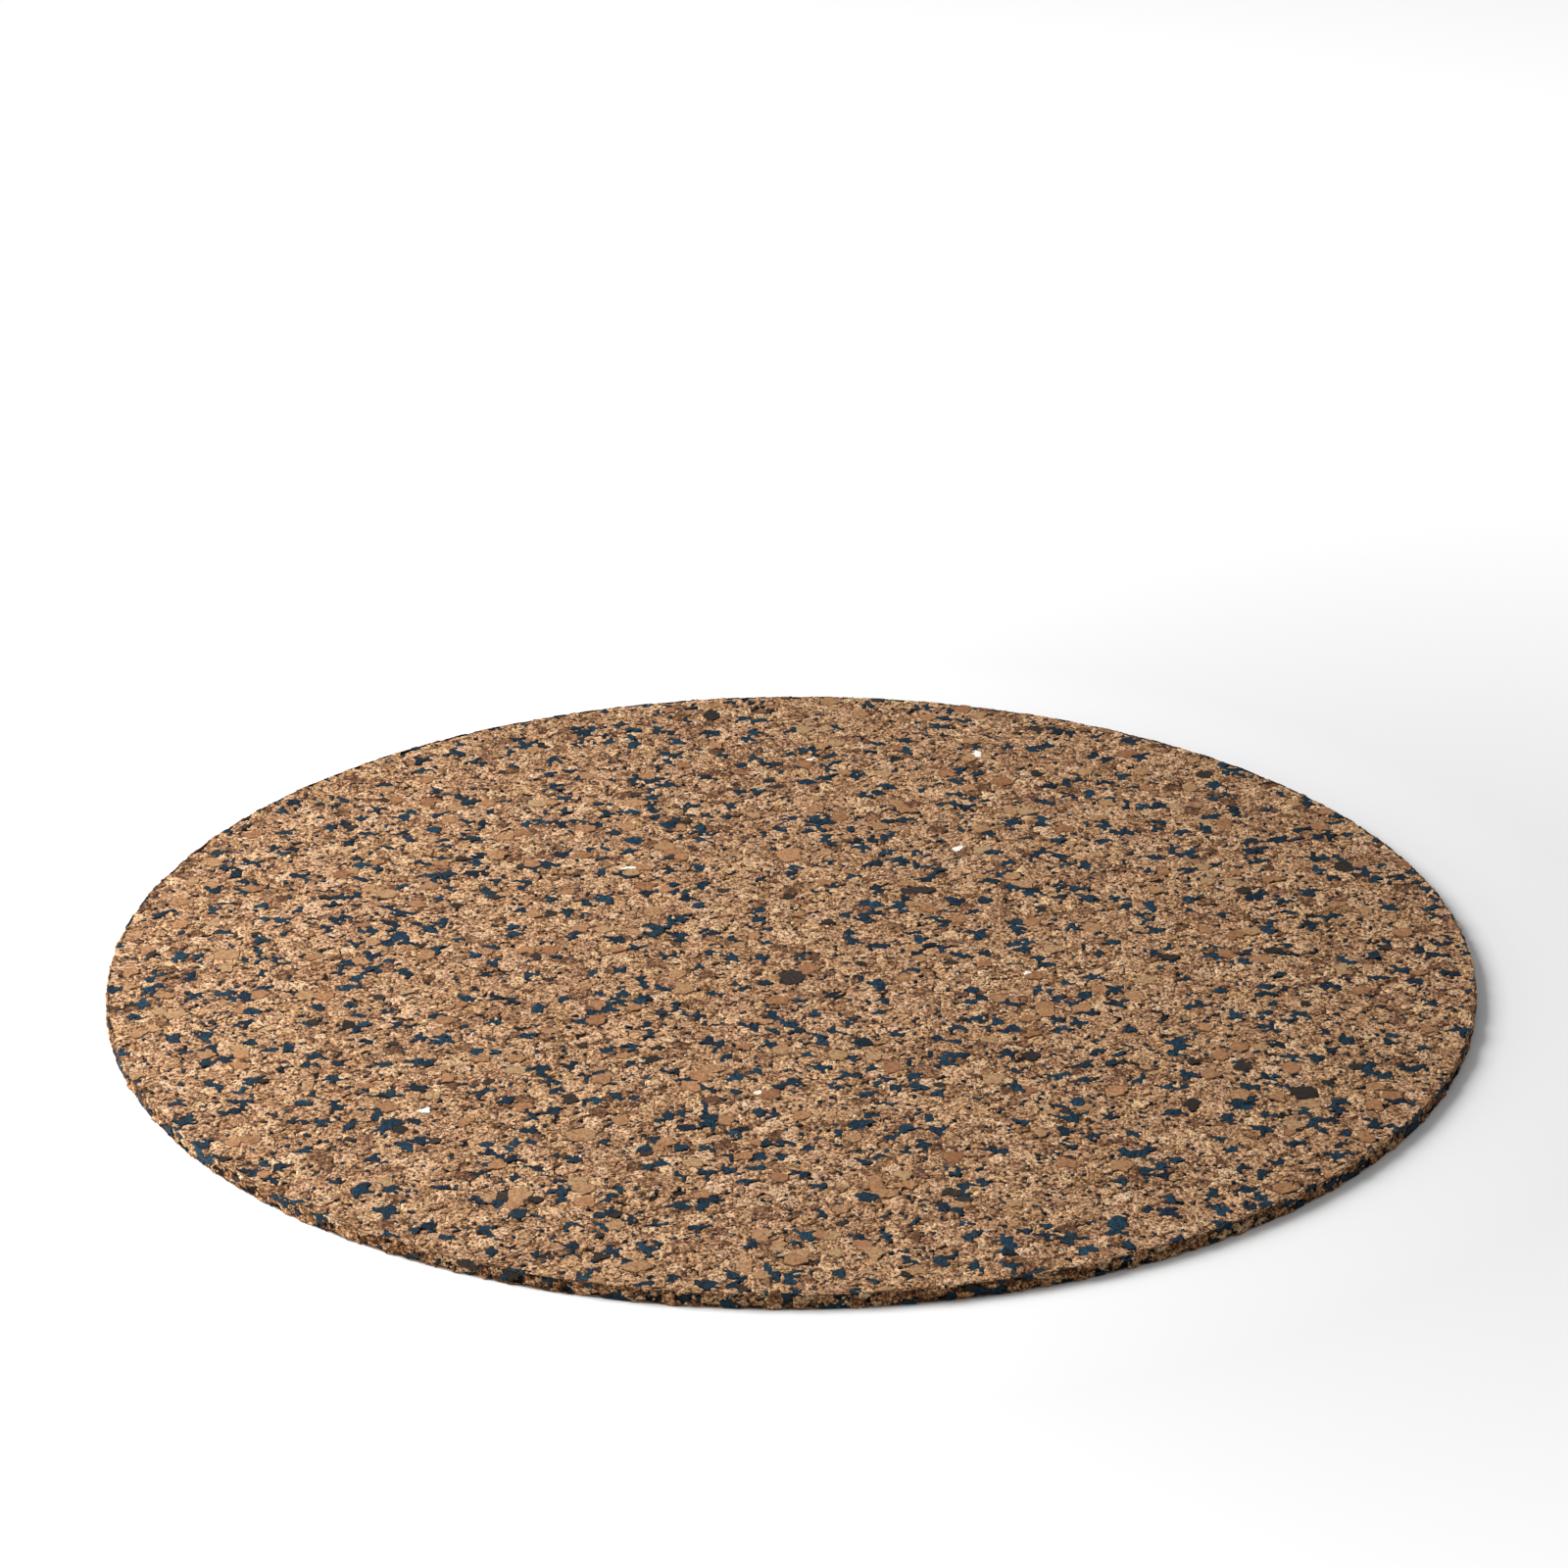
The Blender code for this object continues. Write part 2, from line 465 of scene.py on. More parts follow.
    def squeeze_rubber(
        self,
        owner: list[int],
        around: Sequence[Sequence[int]],
        taken: dict[int, str],
        draw: random.Random,
    ) -> None:
        """Lets rubber creep along the joints between cork granules, in ragged arms.

        Args:
            owner: Each cell's granule, changed in place.
            around: Each cell's neighbours.
            taken: Cells that may not change hands.
            draw: The source of chance.
        """
        for _ in range(CREEP):
            before = list(owner)
            for i, neighbours in enumerate(around):
                if i in taken or self.granules[before[i]].kind is Kind.RUBBER:
                    continue
                beside = {before[n] for n in neighbours if n not in taken}
                rubber = sorted(n for n in beside if self.granules[n].kind is Kind.RUBBER)
                at_joint = len(beside - set(rubber) | {before[i]}) > 1
                if rubber and at_joint and draw.random() < self.arm_rate:
                    owner[i] = draw.choice(rubber)

    def loosen_crumbs(
        self,
        owner: list[int],
        around: Sequence[Sequence[int]],
        taken: dict[int, str],
        draw: random.Random,
        centres: Sequence[Vector],
    ) -> None:
        """Turns some of the cork where granules meet into crumbs of its own, some of them pits.

        Args:
            owner: Each cell's granule, changed in place.
            around: Each cell's neighbours.
            taken: Cells that may not change hands.
            draw: The source of chance.
            centres: The cells' centres.
        """
        before = list(owner)
        for i, neighbours in enumerate(around):
            kind = self.granules[before[i]].kind
            if i in taken or kind not in (Kind.CORK, Kind.TORN):
                continue
            if len({before[n] for n in neighbours} | {before[i]}) < 3:
                continue
            if draw.random() < self.crumb_rate:
                if draw.random() < RUBBER_CRUMB_RATE:
                    kind = Kind.RUBBER
                crumb = Granule.drawn(kind, centres[i], self.cell / 2, draw, None)
                dark, light = draw.uniform(*DARK_CRUMB), draw.uniform(*LIGHT_CRUMB)
                crumb.tone = draw.choice((dark, light))
                crumb.sink = PIT_DEPTH / CUTS[kind].sink * draw.random() ** 2
                owner[i] = len(self.granules)
                self.granules.append(crumb)

    # -- shaping

    def grow(self) -> dict[str, tuple[Kind, Optional[str], bmesh.types.BMesh]]:
        """Builds the whole field.

        Returns:
            For each piece's name: the kind of its granules, the node it stands for if it is
            one of the model's large granules, and its geometry in place.
        """
        bm = self.honeycomb()
        self.gather(bm)
        layer = bm.faces.layers.int["granule"]
        names = [self.piece_of(granule) for granule in self.granules]
        draw = random.Random(self.seed + 3)
        joints, seams = [], []
        for edge in bm.edges:
            if len(edge.link_faces) == 2:
                one, other = (face[layer] for face in edge.link_faces)
                if one != other:
                    joints.append(edge)
                kind = self.granules[one].kind
                if names[one] != names[other] or (
                    kind in (Kind.CORK, Kind.TORN) and self.gapes(edge, one != other, draw)
                ):
                    seams.append(edge)
        self.straighten(bm, joints)
        bmesh.ops.split_edges(bm, edges=self.opening(seams))
        large = self.part_of(bm, [granule.node is not None for granule in self.granules])
        grown = {}
        for name in sorted(set(names)):
            granule = self.granules[names.index(name)]
            part = self.part_of(large if granule.node else bm, [own == name for own in names])
            self.shape(part, CUTS[granule.kind])
            self.place(part)
            grown[name] = (granule.kind, granule.node, part)
        large.free()
        bm.free()
        return grown

    @staticmethod
    def opening(seams: Sequence[bmesh.types.BMEdge]) -> list[bmesh.types.BMEdge]:
        """Leaves out the seams that lie alone, which would open into a slit of no width.

        Args:
            seams: Edges where the material has come apart.

        Returns:
            Those that meet another seam or the edge of the field.
        """
        met = Counter(vert for edge in seams for vert in edge.verts)
        return [
            edge
            for edge in seams
            if any(met[vert] > 1 or vert.is_boundary for vert in edge.verts)
        ]

    @staticmethod
    def gapes(edge: bmesh.types.BMEdge, at_joint: bool, draw: random.Random) -> bool:
        """Whether cork has come apart along an edge.

        Args:
            edge: An edge between two cells.
            at_joint: Whether the cells belong to different granules.
            draw: The source of chance.

        Returns:
            True at the joints where the binder has drawn back, and at a few stray cracks.
        """
        if not at_joint:
            return draw.random() < CRACK_RATE
        middle = (edge.verts[0].co + edge.verts[1].co) / 2
        return noise.noise(middle / GAPE_SIZE) > GAPE_LIMIT

    def piece_of(self, granule: Granule) -> str:
        """Names the piece that a granule belongs to.

        Args:
            granule: The granule.

        Returns:
            The piece's name, with the number of its sector where its kind is divided up.
        """
        if granule.node:
            return f"{granule.node}_cut"
        name = f"{self.name}_{granule.kind.value}"
        parts = CUTS[granule.kind].parts
        if parts == 1:
            return name
        turn = math.atan2(granule.centre.y, granule.centre.x) / math.tau % 1
        return f"{name}_{int(turn * parts) + 1}"

    @staticmethod
    def part_of(bm: bmesh.types.BMesh, kept: Sequence[bool]) -> bmesh.types.BMesh:
        """Copies some of the granules.

        Args:
            bm: The honeycomb, cut apart at the seams.
            kept: Whether each granule is wanted.

        Returns:
            A copy with only those granules.
        """
        part = bm.copy()
        layer = part.faces.layers.int["granule"]
        others = [face for face in part.faces if not kept[face[layer]]]
        bmesh.ops.delete(part, geom=others, context="FACES")
        return part

    @staticmethod
    def straighten(bm: bmesh.types.BMesh, joints: Sequence[bmesh.types.BMEdge]) -> None:
        """Takes some of the zigzag of the cells out of the joints.

        Args:
            bm: The honeycomb.
            joints: The edges between different granules.
        """
        along: dict[bmesh.types.BMVert, list[bmesh.types.BMVert]] = {}
        for edge in joints:
            for vert in edge.verts:
                along.setdefault(vert, []).append(edge.other_vert(vert))
        moved = [
            (vert, vert.co * 0.5 + (others[0].co + others[1].co) * 0.25)
            for vert, others in along.items()
            if len(others) == 2 and not vert.is_boundary
        ]
        for vert, place in moved:
            vert.co = place

    def shape(self, bm: bmesh.types.BMesh, cut: Cut) -> None:
        """Turns flat patches of cells into closed, crumbly granules.

        Each patch is inset for the wall of the crevice round it, each of its cells gets a
        lump in its middle, and its open underside is filled.

        Args:
            bm: Granules of one kind as flat patches, apart from those of other kinds.
            cut: How this kind stands at the face.
        """
        tone = bm.verts.layers.float.new("tone")
        hue = bm.verts.layers.float.new("hue")
        lift = bm.verts.layers.float.new("lift")
        layer = bm.faces.layers.int["granule"]
        for vert in bm.verts:
            vert.co.z = -self.seam_depth
        walls = bmesh.ops.inset_region(
            bm, faces=bm.faces[:], thickness=cut.seam, use_boundary=True, use_even_offset=False
        )["faces"]
        for face in bm.faces:
            face.tag = True
        for wall in walls:
            wall.tag = False
        draw = random.Random(f"{self.seed} {len(bm.faces)}")
        for vert in bm.verts:
            beside = [face[layer] for face in vert.link_faces if face.tag]
            if beside:
                granule = self.granules[min(beside)]
                drop, rise = self.dip(vert, beside, cut, draw)
                vert.co.z = self.height(vert.co, granule, cut) - drop
                vert[lift] = rise
                vert[tone] = granule.tone + draw.uniform(-CELL_TONE, CELL_TONE) / 2
                vert[hue] = granule.hue
        # The walls' bottom corners keep a lift of 0, so the finish paints them in full crevice shade
        for wall in walls:
            tops = [vert for vert in wall.verts if vert[lift] > 0]
            for vert in wall.verts:
                if vert[lift] == 0 and tops:
                    vert[tone] = tops[0][tone]
                    vert[hue] = tops[0][hue]
        cells = [face for face in bm.faces if face.tag]
        for vert in bmesh.ops.poke(bm, faces=cells)["verts"]:
            granule = self.granules[vert.link_faces[0][layer]]
            drop = cut.crumble * draw.uniform(0.0, 0.6)
            vert.co.z = self.height(vert.co, granule, cut) - drop
            vert[lift] = 1.0
            vert[tone] = granule.tone + draw.uniform(-CELL_TONE, CELL_TONE)
            vert[hue] = granule.hue
        outlines = [vert for vert in bm.verts if vert.is_boundary]
        bmesh.ops.remove_doubles(bm, verts=outlines, dist=WELD)
        rims = [edge for edge in bm.edges if edge.is_boundary]
        undersides = bmesh.ops.holes_fill(bm, edges=rims, sides=0)["faces"]
        bmesh.ops.triangulate(bm, faces=undersides, ngon_method="EAR_CLIP")
        bmesh.ops.triangulate(bm, faces=bm.faces[:])
        self.drop_folds(bm)

    @staticmethod
    def drop_folds(bm: bmesh.types.BMesh) -> None:
        """Removes the pairs of faces that lie back to back where a slit ends.

        Args:
            bm: Closed granules.
        """
        seen: dict[frozenset[bmesh.types.BMVert], bmesh.types.BMFace] = {}
        folds = []
        for face in bm.faces:
            corners = frozenset(face.verts)
            if corners in seen:
                folds += [seen[corners], face]
            seen[corners] = face
        bmesh.ops.delete(bm, geom=folds, context="FACES")

    @staticmethod
    def dip(
        vert: bmesh.types.BMVert, beside: Sequence[int], cut: Cut, draw: random.Random
    ) -> tuple[float, float]:
        """How far a corner between cells lies below the granule's top.

        Args:
            vert: The corner.
            beside: The granules of the cells round it.
            cut: How its kind stands at the face.
            draw: The source of chance.

        Returns:
            The depth of the dip, and how much light still falls into it, 0 to 1, which the finish reads as
            "lift" and paints as shade in its seam colour.
        """
        gape = min(1.0, max(0.0, 0.35 + 1.3 * noise.noise(vert.co.xy.to_3d() / GAPE_SIZE)))
        beside_crevice = len(beside) < len(vert.link_faces)
        if beside_crevice:
            return cut.shoulder * (0.3 + 0.7 * gape), 0.9 - 0.5 * gape
        at_joint = len(set(beside)) > 1
        if at_joint:
            return cut.crumble * 0.4 + cut.shoulder * gape, 1.0 - gape
        if draw.random() < PORE_RATE:
            return cut.crumble + cut.shoulder * 0.4, draw.uniform(0.0, 0.4)
        return cut.crumble * draw.uniform(0.2, 1.0), 1.0

    @staticmethod
    def height(place: Vector, granule: Granule, cut: Cut) -> float:
        """How high the top of a granule lies.

        Args:
            place: A place on it.
            granule: The granule.
            cut: How its kind stands at the face.

        Returns:
            The height above the surface.
        """
        flat = Vector((place.x, place.y, 0))
        lean = cut.tilt * granule.lean.dot(flat - granule.centre)
        swell = noise.noise(flat / SWELL_SIZE) * cut.swell
        return min(cut.proud, lean - granule.sink * cut.sink + swell)


@dataclass
class FaceField(Field):
    """A round face of the board.

    Attributes:
        radius: The board's radius.
        level: The height of the face.
        looks_up: Whether it is the pin-up face.
        chips: The boxes of the model's large granules, by node.
        rim_gap: How far inside the rim the face ends.
        wear: How much further in it ends where its edge is most worn.
        worn_spots: How often the wear comes and goes in one radian of the edge.
    """

    radius: float = 0.0
    level: float = 0.0
    looks_up: bool = True
    chips: dict[str, tuple[Vector, Vector]] = field(default_factory=dict)
    rim_gap: float = 0.1 * MM
    wear: float = 0.5 * MM
    worn_spots: float = 90

    def extent(self) -> tuple[float, float]:
        """The square round the disc."""
        side = 2 * self.radius + 4 * self.cell
        return side, side

    def drop_outside(self, bm: bmesh.types.BMesh) -> None:
        """Removes grid squares that lie well outside the disc.

        Args:
            bm: The grid.
        """
        reach = self.radius + 2 * self.cell
        outside = [v for v in bm.verts if v.co.length > reach]
        bmesh.ops.delete(bm, geom=outside, context="VERTS")

    def trim(self, bm: bmesh.types.BMesh) -> None:
        """Drops the cells past the rim and draws the outermost ones out to the cut.

        Args:
            bm: The honeycomb.
        """
        edge = self.radius - self.rim_gap
        past = [f for f in bm.faces if f.calc_center_median().length > edge - 0.15 * self.cell]
        bmesh.ops.delete(bm, geom=past, context="FACES")
        for vert in bm.verts:
            if vert.is_boundary or vert.co.length > edge:
                angle = math.atan2(vert.co.y, vert.co.x)
                worn = noise.noise(Vector((angle * self.worn_spots, self.seed, 0))) * self.wear
                vert.co = vert.co.normalized() * (edge - abs(worn))

    def reserved(self, centres: Sequence[Vector]) -> dict[int, str]:
        """Finds the cells where the model's large granules lie.

        Args:
            centres: The cells' centres.

        Returns:
            The node of the large granule, for each cell under one.
        """
        tree = kdtree.KDTree(len(centres))
        for i, centre in enumerate(centres):
            tree.insert(centre, i)
        tree.balance()
        taken: dict[int, str] = {}
        for node, (low, high) in self.chips.items():
            middle = (low + high) / 2
            middle.z = 0
            half = (high - low) / 2
            held = [
                (co, i)
                for co, i, _ in tree.find_range(middle, half.xy.length + self.cell)
                if math.hypot((co.x - middle.x) / half.x, (co.y - middle.y) / half.y) < 1
            ]
            if not held:
                held = [tree.find(middle)[:2]]
            for _, i in held:
                taken.setdefault(i, node)
        return taken

    def place(self, bm: bmesh.types.BMesh) -> None:
        """Lays the field on its face, and turns it over for the back.

        Args:
            bm: Shaped granules.
        """
        self.map_for_bake(bm)
        if not self.looks_up:
            turn = Matrix.Rotation(math.pi, 4, "X")
            bmesh.ops.transform(bm, matrix=turn, verts=bm.verts[:])
        bmesh.ops.translate(bm, vec=(0, 0, self.level), verts=bm.verts[:])

    def map_for_bake(self, bm: bmesh.types.BMesh) -> None:
        """Maps the field flat, with the undersides small in a corner that the disc leaves.

        Args:
            bm: Shaped granules, still flat.
        """
        layer = bm.loops.layers.uv.new(BAKE_MAP)
        corner = 0.14  # the square that fits between the disc and the map's corner
        across = 2.02 * self.radius  # a little margin all round
        for face in bm.faces:
            hidden = face.normal.z < 0
            for loop in face.loops:
                u = loop.vert.co.x / across + 0.5
                v = loop.vert.co.y / across + 0.5
                loop[layer].uv = (u * corner, v * corner) if hidden else (u, v)


@dataclass
class RimField(Field):
    """The raw die-cut rim, grown flat as a strip and then bent round the board.

    Attributes:
        radius: The board's radius.
        low: The height of the strip's lower edge.
        high: The height of its upper edge.
        dark_rate: The share of granules that are rubber or bark on top of the mix.
        end_reach: How near the strip's end a corner is part of it, in cells.
        side_reach: How near the strip's long edge a corner of the end is part of that, in cells.
    """

    radius: float = 0.0
    low: float = 0.0
    high: float = 0.0
    dark_rate: float = 0.13
    end_reach: float = 0.8
    side_reach: float = 0.3

    def draw_kind(self, place: Vector, radius: float, draw: random.Random) -> Kind:
        """Draws from the same mix with more dark crumb, the cork all torn by the die.

        Args:
            place: Where the granule lies.
            radius: Its radius.
            draw: The source of chance.

        Returns:
            Its kind.
        """
        if draw.random() < self.dark_rate:
            return draw.choice((Kind.RUBBER, Kind.RUBBER, Kind.BARK))
        kind = super().draw_kind(place, radius, draw)
        return kind if kind is Kind.RUBBER else Kind.TORN

    def extent(self) -> tuple[float, float]:
        """The strip's length and height."""
        return math.tau * self.radius, self.high - self.low

    def trim(self, bm: bmesh.types.BMesh) -> None:
        """Straightens the strip's edges. Its two ends meet when it is bent.

        Args:
            bm: The honeycomb.
        """
        length, height = self.extent()
        for vert in bm.verts:
            if vert.is_boundary:
                end = abs(vert.co.x) > length / 2 - self.end_reach * self.cell
                side = not end or abs(vert.co.y) > height / 2 - self.side_reach * self.cell
                if end:
                    vert.co.x = math.copysign(length / 2, vert.co.x)
                if side:
                    vert.co.y = math.copysign(height / 2, vert.co.y)

    def place(self, bm: bmesh.types.BMesh) -> None:
        """Maps the strip in rows and bends it round the board, its open side out.

        Args:
            bm: Shaped granules.
        """
        self.map_for_bake(bm)
        middle = (self.low + self.high) / 2
        for vert in bm.verts:
            angle = vert.co.x / self.radius
            reach = self.radius + vert.co.z
            height = middle + vert.co.y
            vert.co = Vector((math.sin(angle) * reach, math.cos(angle) * reach, height))
        # Bent this way the strip's open side would face in, so its faces are turned
        bmesh.ops.reverse_faces(bm, faces=bm.faces[:])

    def map_for_bake(self, bm: bmesh.types.BMesh) -> None:
        """Maps the strip in rows, one below the other, undersides in the lower half.

        Args:
            bm: Shaped granules, still flat.
        """
        layer = bm.loops.layers.uv.new(BAKE_MAP)
        rows = 12
        length, height = self.extent()
        for face in bm.faces:
            middle = face.calc_center_median()
            along = (middle.x / length + 0.5) * rows
            row = min(rows - 1, int(along))
            hidden = face.normal.z < 0
            for loop in face.loops:
                u = (loop.vert.co.x / length + 0.5) * rows - row
                v = loop.vert.co.y / height + 0.5
                v = (row + 0.05 + 0.9 * v) / rows
                loop[layer].uv = (0.02 + 0.96 * u, v / 2 if hidden else 0.5 + v / 2)


# ---------------------------------------------------------------------------- finishes


def linear(code: str) -> tuple[float, float, float, float]:
    """An sRGB hex colour as the linear one that shaders take.

    Args:
        code: Six hex digits.

    Returns:
        Red, green, blue and an alpha of 1.
    """
    parts = [int(code[i : i + 2], 16) / 255 for i in (0, 2, 4)]
    bent = [p / 12.92 if p <= 0.04045 else ((p + 0.055) / 1.055) ** 2.4 for p in parts]
    return bent[0], bent[1], bent[2], 1.0


def add_node(
    tree: bpy.types.NodeTree,
    kind: str,
    settings: Optional[dict[str, Any]] = None,
    inputs: Optional[dict[Any, Any]] = None,
) -> bpy.types.Node:
    """Adds a shader node.

    Args:
        tree: The material's node tree.
        kind: The node's type name, without "ShaderNode".
        settings: The node's own properties.
        inputs: Values for its sockets, by name or number; a socket as value is linked.

    Returns:
        The node.
    """
    node = tree.nodes.new(f"ShaderNode{kind}")
    for name, value in (settings or {}).items():
        setattr(node, name, value)
    for key, value in (inputs or {}).items():
        if isinstance(value, bpy.types.NodeSocket):
            tree.links.new(value, node.inputs[key])
        else:
            node.inputs[key].default_value = value
    return node


def set_ramp(node: bpy.types.Node, stops: Sequence[tuple[float, str]]) -> bpy.types.Node:
    """Gives a colour ramp its stops.

    Args:
        node: A ValToRGB node.
        stops: Each stop's place from 0 to 1 and its hex colour.

    Returns:
        The same node.
    """
    ramp = node.color_ramp
    while len(ramp.elements) > 1:
        ramp.elements.remove(ramp.elements[-1])
    ramp.elements[0].position = stops[0][0]
    ramp.elements[0].color = linear(stops[0][1])
    for place, code in stops[1:]:
        ramp.elements.new(place).color = linear(code)
    return node


# How much larger the coarse grain is than the fine grain, and how much deeper
COARSENESS = 1.7
COARSE_DEPTH = 1.6
# Fine noise below the first of these is a speck, and above the second there is none
SPECK_EDGE = (0.40, 0.49)
# The lift from which on a crevice no longer gets painted shade
LIT_LIFT = 0.6


@dataclass(frozen=True)
class CrumbFinish:
    """The finish of one kind of granule.

    Attributes:
        name: The material's name: what it is and how its surface was made.
        tones: Hex colours that its granules run through, dark to light.
        pinks: The same for its pinkest granules.
        shade: The hex colour of the specks and dark cell walls in it.
        seam: The hex colour of the painted shade that a crevice falls to.
        grain: The size of its fine grain.
        mottle: How much its tone wavers inside a granule.
        specks: How much of the shade colour shows.
        bump: How deep the grain is.
        surface_roughness: The shader's roughness.
        specular: The shader's specular level.
    """

    name: str
    tones: tuple[str, ...]
    pinks: tuple[str, ...]
    shade: str
    seam: str
    grain: float
    mottle: float
    specks: float
    bump: float
    surface_roughness: float
    specular: float = 0.3

    def make(self) -> bpy.types.Material:
        """Builds the material.

        Returns:
            A material whose colour follows the attributes "tone" and "hue", and whose painted crevice shade
            follows the attribute "lift", 0 at their bottom and 1 on a lump.
        """
        material = bpy.data.materials.new(self.name)
        material.use_nodes = True
        tree = material.node_tree
        shader = tree.nodes["Principled BSDF"]
        place = add_node(tree, "TexCoord").outputs["Object"]
        tone, hue, lift = (
            add_node(tree, "Attribute", {"attribute_name": name}).outputs["Fac"]
            for name in ("tone", "hue", "lift")
        )
        coarse = self.noise(tree, place, COARSENESS * self.grain, 3.0)
        fine = self.noise(tree, place, self.grain, 4.0)
        wavered = add_node(
            tree,
            "Math",
            {"operation": "MULTIPLY_ADD"},
            {0: coarse, 1: self.mottle, 2: tone},
        ).outputs[0]
        centred = add_node(
            tree, "Math", {"operation": "SUBTRACT"}, {0: wavered, 1: self.mottle / 2}
        ).outputs[0]
        golden, pink = (
            set_ramp(
                add_node(tree, "ValToRGB", inputs={"Fac": centred}),
                [(i / (len(codes) - 1), code) for i, code in enumerate(codes)],
            ).outputs["Color"]
            for codes in (self.tones, self.pinks)
        )
        body = self.mixed(tree, hue, golden, pink)
        speck = add_node(
            tree,
            "MapRange",
            {"clamp": True},
            {0: fine, 1: SPECK_EDGE[0], 2: SPECK_EDGE[1], 3: self.specks, 4: 0.0},
        ).outputs[0]
        specked = self.mixed(tree, speck, body, linear(self.shade))
        # Painted shade: where "lift" says little light falls into a crevice or pore, the colour falls to
        # the seam colour
        rise = add_node(
            tree, "MapRange", {"clamp": True}, {0: lift, 1: 0.0, 2: LIT_LIFT, 3: 1.0, 4: 0.0}
        ).outputs[0]
        with_painted_shade = self.mixed(tree, rise, specked, linear(self.seam))
        bump = add_node(
            tree, "Bump", inputs={"Strength": 1.0, "Distance": self.bump, "Height": fine}
        )
        rough = add_node(
            tree, "Bump", inputs={"Strength": 1.0, "Distance": COARSE_DEPTH * self.bump, "Height": coarse}
        )
        tree.links.new(rough.outputs["Normal"], bump.inputs["Normal"])
        tree.links.new(with_painted_shade, shader.inputs["Base Color"])
        tree.links.new(bump.outputs["Normal"], shader.inputs["Normal"])
        shader.inputs["Roughness"].default_value = self.surface_roughness
        shader.inputs["Specular IOR Level"].default_value = self.specular
        return material

    @staticmethod
    def noise(
        tree: bpy.types.NodeTree, place: bpy.types.NodeSocket, size: float, detail: float
    ) -> bpy.types.NodeSocket:
        """Adds noise with blobs of a given size, and gives its value."""
        inputs = {"Vector": place, "Scale": 1 / size, "Detail": detail, "Roughness": 0.6}
        return add_node(tree, "TexNoise", inputs=inputs).outputs["Fac"]

    @staticmethod
    def mixed(
        tree: bpy.types.NodeTree, share: bpy.types.NodeSocket, one: Any, other: Any
    ) -> bpy.types.NodeSocket:
        """Mixes two colours, or sockets that give one, and gives the result."""
        mix = add_node(tree, "Mix", {"data_type": "RGBA"}, {0: share, 6: one, 7: other})
        return mix.outputs[2]


# Each finish's seam colour is painted shade: it is laid in crevices and pores where "lift" says little
# light falls in
FINISHES = {
    # Cork cells cut open by the knife: matt and dry, mottled by closed and open cells,
    # from boiled pinkish cork to yellower cork, with darker cork from near the bark
    Kind.CORK: CrumbFinish(
        "agglomerated_cork_skived",
        tones=("5E3F26", "8A6140", "AE8157", "C5986B", "D8AC7F", "EAC497"),
        pinks=("664530", "90664B", "B0835F", "C79A75", "D8AD88", "E9C4A0"),
        shade="452710", seam="140A04", grain=0.62 * MM, mottle=2.0, specks=0.94,
        bump=0.65 * MM, surface_roughness=0.88,
    ),
    # Cork torn through by the die: browner, with orange where it is freshly broken
    Kind.TORN: CrumbFinish(
        "agglomerated_cork_die_torn",
        tones=("52321A", "855833", "B38051", "D8A876", "EFCDA2"),
        pinks=("5A361E", "8C5A35", "B67E50", "DAA674", "EFC9A0"),
        shade="2E1A0C", seam="120A05", grain=0.5 * MM, mottle=2.6, specks=0.9,
        bump=0.6 * MM, surface_roughness=0.9,
    ),
    # Dense cork that the knife cut clean: even in colour and almost smooth, tan to olive
    Kind.SMOOTH: CrumbFinish(
        "dense_cork_cut_clean",
        tones=("7E5233", "946744", "A97C54"),
        pinks=("84593A", "9C754F", "A58D68"),
        shade="6E4A2E", seam="3A2617", grain=0.7 * MM, mottle=1.1, specks=0.5,
        bump=0.22 * MM, surface_roughness=0.8,
    ),
    # Torn rubber crumb: dull navy, with a little green where the light catches its tears
    Kind.RUBBER: CrumbFinish(
        "navy_rubber_crumb_torn",
        tones=("061924", "092432", "0E3040", "163E50"),
        pinks=("081825", "0B2233", "102D40", "17394D"),
        shade="030A12", seam="04080B", grain=0.5 * MM, mottle=1.8, specks=0.6,
        bump=0.35 * MM, surface_roughness=0.6, specular=0.2,
    ),
    # Outer bark: brown-black and cracked
    Kind.BARK: CrumbFinish(
        "cork_outer_bark_cut",
        tones=("1C1510", "28201A", "372A22"),
        pinks=("1E1611", "2A2019", "3A2C23"),
        shade="100C0A", seam="0C0806", grain=0.6 * MM, mottle=0.6, specks=0.6,
        bump=0.2 * MM, surface_roughness=0.85,
    ),
    # A hard off-white fleck, slightly smoother than the cork
    Kind.FLECK: CrumbFinish(
        "pale_shell_fleck",
        tones=("DCD5C8", "ECE7DD"),
        pinks=("DED6C9", "EEE8DE"),
        shade="B8AC9A", seam="8A7A66", grain=0.8 * MM, mottle=0.3, specks=0.3,
        bump=0.06 * MM, surface_roughness=0.55, specular=0.4,
    ),
}


# ---------------------------------------------------------------------------- the board


def make_piece(name: str, bm: bmesh.types.BMesh, material: bpy.types.Material) -> bpy.types.Object:
    """Makes an object of finished geometry.

    Args:
        name: The piece's name.
        bm: Its geometry in place, freed afterwards.
        material: Its finish.

    Returns:
        The object, at the origin.
    """
    mesh = bpy.data.meshes.new(name)
    bm.to_mesh(mesh)
    bm.free()
    mesh.shade_smooth()
    mesh.set_sharp_from_angle(angle=SHARP_ANGLE)
    mesh.materials.append(material)
    piece = bpy.data.objects.new(name, mesh)
    bpy.context.scene.collection.objects.link(piece)
    return piece


